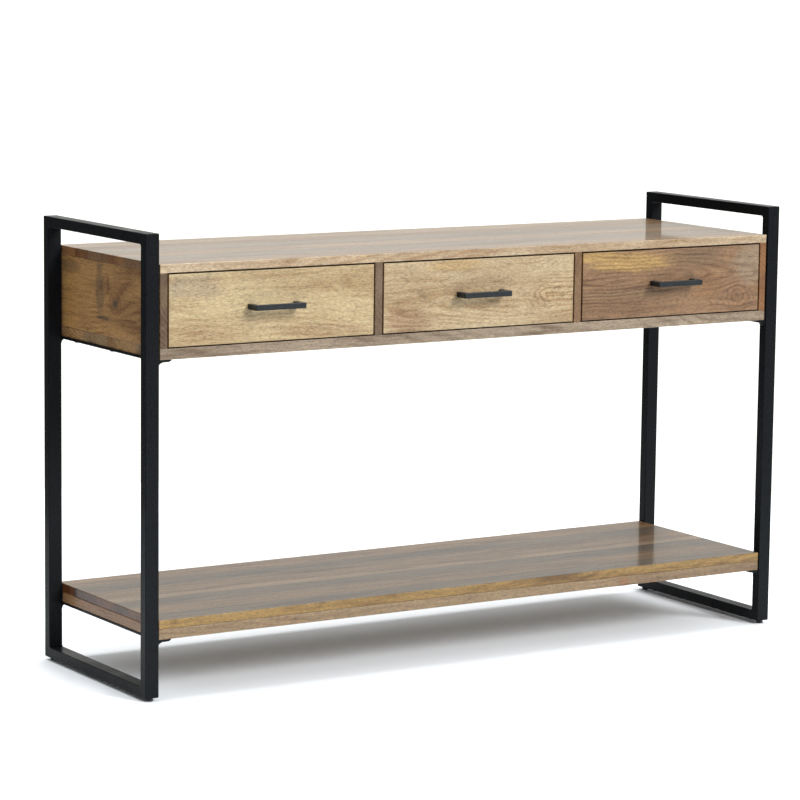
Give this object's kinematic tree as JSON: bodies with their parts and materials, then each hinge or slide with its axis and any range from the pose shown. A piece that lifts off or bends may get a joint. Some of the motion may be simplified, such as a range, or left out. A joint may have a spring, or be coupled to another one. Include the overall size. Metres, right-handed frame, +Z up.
{
  "type": "console table",
  "caption": "Long narrow console table: black rectangular-tube end frames carry a wooden case of inset drawers with bar pulls above an open wooden shelf.",
  "frame": {"origin": "on the floor, below the centre of the whole footprint, pulls included", "axes": "+X along the table, +Y from the drawer fronts to the rear, +Z up"},
  "size_m": [1.321, 0.4082, 0.787],
  "materials": {
    "frame_metal": "black powder coat, low gloss",
    "case_wood": "clear satin lacquer over natural hardwood",
    "shelf_wood": "clear satin lacquer over natural hardwood",
    "drawer_front_wood": "clear satin lacquer over natural hardwood",
    "drawer_box_wood": "unfinished pale hardwood",
    "panel_board": "plain plywood",
    "pull_metal": "black satin coat",
    "slide_steel": "zinc-plated rolled steel",
    "black_screws": "black oxide",
    "zinc_screws": "zinc plate",
    "foot_plastic": "moulded nylon"
  },
  "bodies": {
    "root": {"left_front_upright": "frame_metal", "left_top_rail": "frame_metal", "left_rear_upright": "frame_metal", "left_bottom_rail": "frame_metal", "right_front_upright": "frame_metal", "right_top_rail": "frame_metal", "right_rear_upright": "frame_metal", "right_bottom_rail": "frame_metal", "foot_glides": "foot_plastic", "case_screws": "black_screws", "shelf_screws": "black_screws", "left_case_bar": "frame_metal", "left_shelf_bar": "frame_metal", "right_case_bar": "frame_metal", "right_shelf_bar": "frame_metal", "case_bottom": "case_wood", "case_top": "case_wood", "case_left_side": "case_wood", "case_right_side": "case_wood", "case_back": "panel_board", "left_divider": "case_wood", "right_divider": "case_wood", "shelf_board": "shelf_wood", "shelf_front_rim": "shelf_wood", "shelf_rear_rim": "shelf_wood", "shelf_left_rim": "shelf_wood", "shelf_right_rim": "shelf_wood", "left_case_slides": "slide_steel", "centre_case_slides": "slide_steel", "right_case_slides": "slide_steel"},
    "left_drawer": {"left_drawer_front": "drawer_front_wood", "left_drawer_bottom": "panel_board", "left_drawer_left_side": "drawer_box_wood", "left_drawer_right_side": "drawer_box_wood", "left_drawer_back": "drawer_box_wood", "left_pull": "pull_metal", "left_pull_screws": "zinc_screws", "left_box_slides": "slide_steel"},
    "left_middle_slide": {"left_middle_slides": "slide_steel"},
    "centre_drawer": {"centre_drawer_front": "drawer_front_wood", "centre_drawer_bottom": "panel_board", "centre_drawer_left_side": "drawer_box_wood", "centre_drawer_right_side": "drawer_box_wood", "centre_drawer_back": "drawer_box_wood", "centre_pull": "pull_metal", "centre_pull_screws": "zinc_screws", "centre_box_slides": "slide_steel"},
    "centre_middle_slide": {"centre_middle_slides": "slide_steel"},
    "right_drawer": {"right_drawer_front": "drawer_front_wood", "right_drawer_bottom": "panel_board", "right_drawer_left_side": "drawer_box_wood", "right_drawer_right_side": "drawer_box_wood", "right_drawer_back": "drawer_box_wood", "right_pull": "pull_metal", "right_pull_screws": "zinc_screws", "right_box_slides": "slide_steel"},
    "right_middle_slide": {"right_middle_slides": "slide_steel"}
  },
  "joints": [
    {"name": "left_drawer_slide", "type": "slide", "parent": "root", "child": "left_drawer", "axis": [0, -1, 0], "range_m": [0, 0.28]},
    {"name": "left_middle_slide_travel", "type": "slide", "parent": "root", "child": "left_middle_slide", "axis": [0, -1, 0], "range_m": [0, 0.14]},
    {"name": "centre_drawer_slide", "type": "slide", "parent": "root", "child": "centre_drawer", "axis": [0, -1, 0], "range_m": [0, 0.28]},
    {"name": "centre_middle_slide_travel", "type": "slide", "parent": "root", "child": "centre_middle_slide", "axis": [0, -1, 0], "range_m": [0, 0.14]},
    {"name": "right_drawer_slide", "type": "slide", "parent": "root", "child": "right_drawer", "axis": [0, -1, 0], "range_m": [0, 0.28]},
    {"name": "right_middle_slide_travel", "type": "slide", "parent": "root", "child": "right_middle_slide", "axis": [0, -1, 0], "range_m": [0, 0.14]}
  ],
  "couplings": [
    {"joint": "left_middle_slide_travel", "follows": "left_drawer_slide", "ratio": 0.5},
    {"joint": "centre_middle_slide_travel", "follows": "centre_drawer_slide", "ratio": 0.5},
    {"joint": "right_middle_slide_travel", "follows": "right_drawer_slide", "ratio": 0.5}
  ]
}
